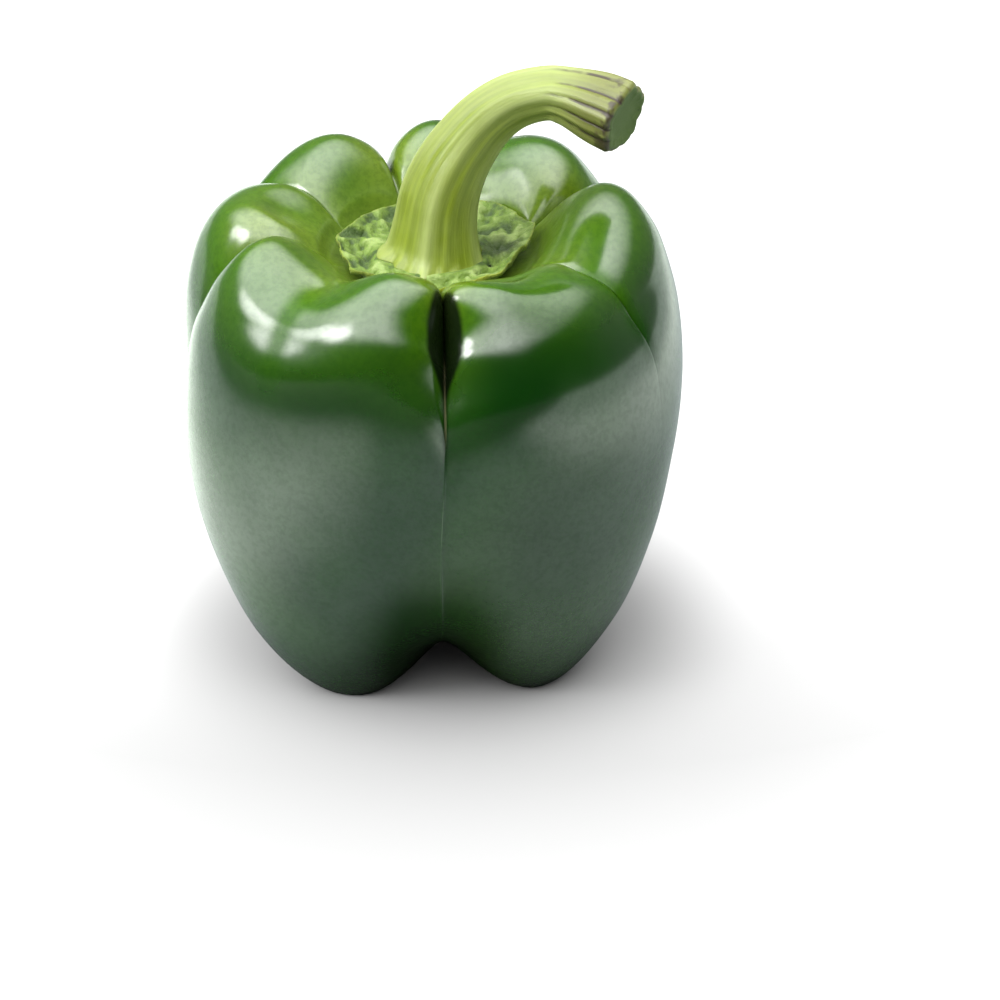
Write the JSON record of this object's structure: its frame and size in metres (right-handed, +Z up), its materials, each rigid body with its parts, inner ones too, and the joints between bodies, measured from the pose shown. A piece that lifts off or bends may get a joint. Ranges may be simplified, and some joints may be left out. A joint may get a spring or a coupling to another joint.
{
  "type": "green bell pepper",
  "caption": "Whole green bell pepper standing upright: lobed blocky fruit with deep creases, ragged calyx in the hollow between the shoulders, and a thick ribbed stem arching to one side.",
  "frame": {"origin": "on the surface it stands on, under the middle of its bounding box", "axes": "+Z up along the fruit, from the blossom end to the stem; -Y faces the viewer, along the deep crease between the two front lobes; the stem arches towards +X"},
  "size_m": [0.0868, 0.084, 0.1112],
  "materials": {
    "skin": "waxy, glossy deep green skin, lighter yellow-green on the shoulders and in the creases",
    "calyx": "matt, mottled green cap with a thin yellow-green edge",
    "stem": "satin yellow-green stalk with fine ribs, brown streaks near the cut and a dull grey-green cut face"
  },
  "bodies": {
    "root": {"fruit": "skin", "calyx": "calyx", "stem": "stem"}
  },
  "joints": []
}
